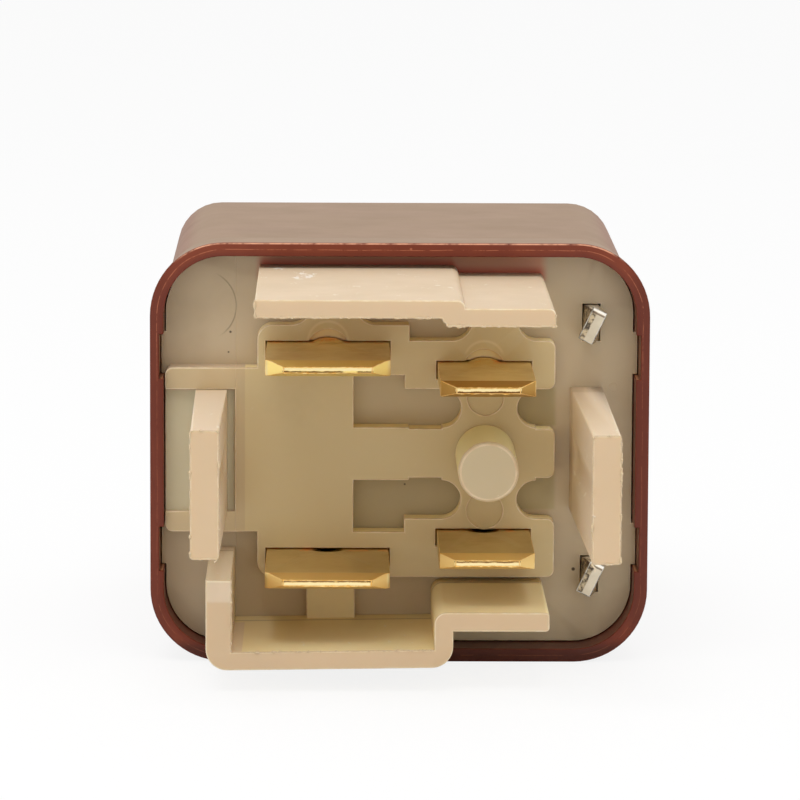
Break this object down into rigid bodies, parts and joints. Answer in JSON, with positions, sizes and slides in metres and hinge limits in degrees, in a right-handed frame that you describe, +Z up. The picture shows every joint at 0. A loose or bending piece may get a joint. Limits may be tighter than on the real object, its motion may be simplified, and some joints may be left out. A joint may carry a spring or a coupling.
{
  "type": "automotive relay",
  "caption": "Plug-in vehicle relay: deep cover, moulded base with key walls and a locating post, flat blade terminals, and a coil with a hinged armature inside.",
  "frame": {"origin": "middle of the outline in plan, at the level of the cover's lower broad side, on which the relay lies", "axes": "+Y runs into the relay from the key walls' tips to the cover's closed end, +X to the right across the terminal side and +Z up its face"},
  "size_m": [0.0256, 0.0402, 0.0218],
  "materials": {
    "cover": "moulded satin brown",
    "base": "moulded natural nylon",
    "load_terminal_fixed": "rolled and sheared",
    "load_terminal_braid": "rolled and sheared",
    "coil_terminal_upper": "rolled and sheared",
    "coil_terminal_lower": "rolled and sheared",
    "yoke": "plated sheet",
    "core": "turned",
    "bobbin": "moulded",
    "coil_winding": "enamelled copper wire",
    "coil_tape": "polyester film",
    "coil_leads": "enamelled copper wire",
    "armature": "plated sheet",
    "armature_rivets": "formed heads",
    "contact_spring": "spring bronze leaf",
    "moving_contact": "silver alloy",
    "fixed_contact": "silver alloy",
    "hinge_spring": "spring bronze leaf",
    "hinge_spring_rivets": "formed heads",
    "back_stop": "plated strip",
    "braid": "flexible copper braid",
    "resistor": "lacquered body",
    "resistor_leads": "tinned wire"
  },
  "bodies": {
    "housing": {"cover": "cover", "base": "base", "load_terminal_fixed": "load_terminal_fixed", "load_terminal_braid": "load_terminal_braid", "coil_terminal_upper": "coil_terminal_upper", "coil_terminal_lower": "coil_terminal_lower", "yoke": "yoke", "core": "core", "bobbin": "bobbin", "coil_winding": "coil_winding", "coil_tape": "coil_tape", "coil_leads": "coil_leads", "fixed_contact": "fixed_contact", "hinge_spring": "hinge_spring", "hinge_spring_rivets": "hinge_spring_rivets", "back_stop": "back_stop", "braid": "braid", "resistor": "resistor", "resistor_leads": "resistor_leads"},
    "armature": {"armature": "armature", "armature_rivets": "armature_rivets", "contact_spring": "contact_spring", "moving_contact": "moving_contact"}
  },
  "joints": [
    {"name": "armature_hinge", "type": "hinge", "parent": "housing", "child": "armature", "pos_m": [0.00992, 0.01424, 0.0109], "axis": [0, 0, 1], "range_deg": [0, 2.2], "stiffness_Nm_per_rad": 0.02, "springref_deg": -11.46}
  ]
}
